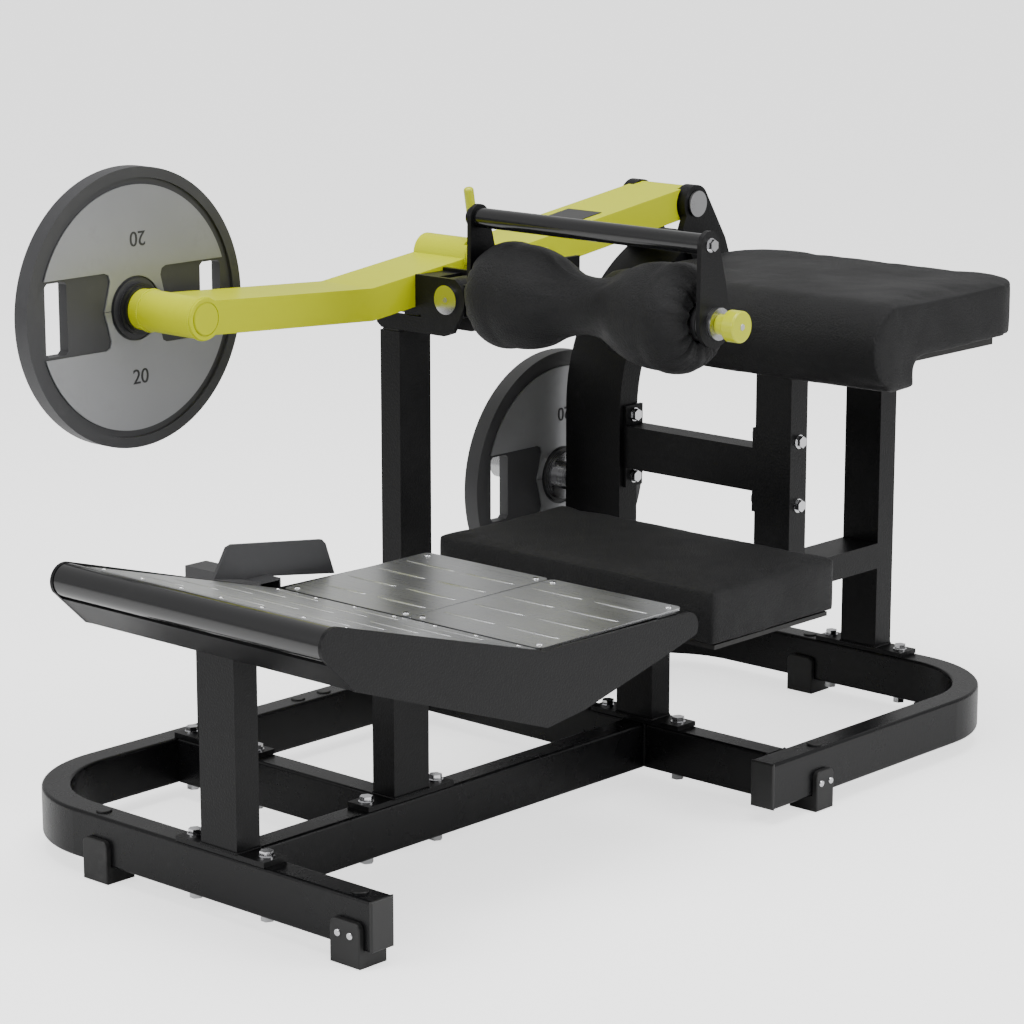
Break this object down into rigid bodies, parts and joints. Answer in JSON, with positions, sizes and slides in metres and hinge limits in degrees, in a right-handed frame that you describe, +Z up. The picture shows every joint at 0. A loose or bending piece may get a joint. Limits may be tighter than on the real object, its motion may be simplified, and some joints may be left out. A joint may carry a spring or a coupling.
{
  "type": "hip thrust machine",
  "caption": "Plate-loaded hip thrust machine: bent-tube base, tilted foot platform, seat, back pad and a side lever arm with a swing-away padded hip roller.",
  "frame": {"origin": "on the floor under the middle of the whole machine's bounding box", "axes": "+Z up, +Y from the foot platform to the back pad, +X to the side away from the lever arm"},
  "size_m": [1.074, 1.6754, 1.004],
  "materials": {
    "base_paint": "satin black",
    "frame_paint": "fine-texture black",
    "arm_paint": "satin yellow-green",
    "toe_bar_paint": "gloss black",
    "guard_paint": "satin dark grey",
    "deck_metal": "brushed",
    "bright_metal": "polished",
    "steel": "turned",
    "pad_vinyl": "grained vinyl over foam",
    "board_wood": "painted plywood",
    "black_rubber": "matt",
    "black_plastic": "satin",
    "plate_rubber": "satin urethane over iron",
    "knob_plastic": "yellow-green",
    "label_film": "blank film"
  },
  "bodies": {
    "machine_frame": {"base_front_tube": "base_paint", "base_left_tube": "base_paint", "base_rear_tube": "base_paint", "base_corner_bends": "base_paint", "base_right_tube": "base_paint", "base_main_beam": "base_paint", "base_cross_beam": "base_paint", "base_rear_cross_tube": "base_paint", "upright_outrigger": "base_paint", "caps_and_plugs": "black_plastic", "rubber_feet": "black_rubber", "small_screws": "bright_metal", "front_post": "frame_paint", "deck_post": "frame_paint", "left_front_post": "frame_paint", "seat_post": "frame_paint", "rear_pad_post": "frame_paint", "arm_rest_post": "frame_paint", "front_pad_post": "frame_paint", "frame_bolts": "bright_metal", "platform_cheeks": "frame_paint", "toe_bar": "toe_bar_paint", "toe_panel": "deck_metal", "under_panel": "frame_paint", "deck_panels": "deck_metal", "platform_rails": "frame_paint", "side_stub_and_guard": "guard_paint", "seat_rail": "frame_paint", "pad_boards": "board_wood", "seat_pad": "pad_vinyl", "back_pad": "pad_vinyl", "upright_brace": "frame_paint", "curved_upright": "frame_paint", "pivot_clevis": "frame_paint", "pivot_shaft": "steel", "storage_horn": "steel", "arm_rest_pad": "black_rubber"},
    "lever_arm": {"arm_front_beam": "arm_paint", "arm_rear_beam": "arm_paint", "arm_pivot_tube": "arm_paint", "arm_horn_tube": "arm_paint", "load_horn": "steel", "arm_lock_sleeve": "arm_paint", "arm_data_plate": "label_film", "hinge_bracket": "frame_paint", "hinge_pin": "bright_metal"},
    "roller_gate": {"swing_frame": "frame_paint", "link_plate_right": "frame_paint", "handle_bar": "toe_bar_paint", "bar_bolt": "bright_metal", "roller_shaft": "steel"},
    "hip_roller": {"hip_roller_pad": "pad_vinyl", "roller_core": "steel"},
    "pull_pin": {"pull_knob": "knob_plastic"},
    "gate_lock": {"lock_bolt": "bright_metal", "lock_lever_grip": "knob_plastic"},
    "loaded_plate": {"load_weight_plate": "plate_rubber"},
    "stored_plate": {"storage_weight_plate": "plate_rubber"}
  },
  "joints": [
    {"name": "arm_lift", "type": "hinge", "parent": "machine_frame", "child": "lever_arm", "pos_m": [-0.18975, 0.68165, 0.869], "axis": [-1, 0, 0], "range_deg": [0, 28]},
    {"name": "gate_swing", "type": "hinge", "parent": "lever_arm", "child": "roller_gate", "pos_m": [-0.16525, 0.13015, 0.761], "axis": [0, -1, 0], "range_deg": [0, 70]},
    {"name": "roller_spin", "type": "hinge", "parent": "roller_gate", "child": "hip_roller", "pos_m": [0.20275, 0.03865, 0.796], "axis": [1, 0, 0], "continuous": true},
    {"name": "pin_pull", "type": "slide", "parent": "roller_gate", "child": "pull_pin", "axis": [1, 0, 0], "range_m": [0, 0.008], "stiffness_N_per_m": 400, "springref_m": -0.01},
    {"name": "lock_slide", "type": "slide", "parent": "lever_arm", "child": "gate_lock", "axis": [1, 0, 0], "range_m": [0, 0.03]},
    {"name": "load_plate_slide", "type": "slide", "parent": "lever_arm", "child": "loaded_plate", "axis": [-1, 0, 0], "range_m": [0, 0.09]},
    {"name": "stored_plate_slide", "type": "slide", "parent": "machine_frame", "child": "stored_plate", "axis": [-1, 0, 0], "range_m": [0, 0.09]}
  ]
}
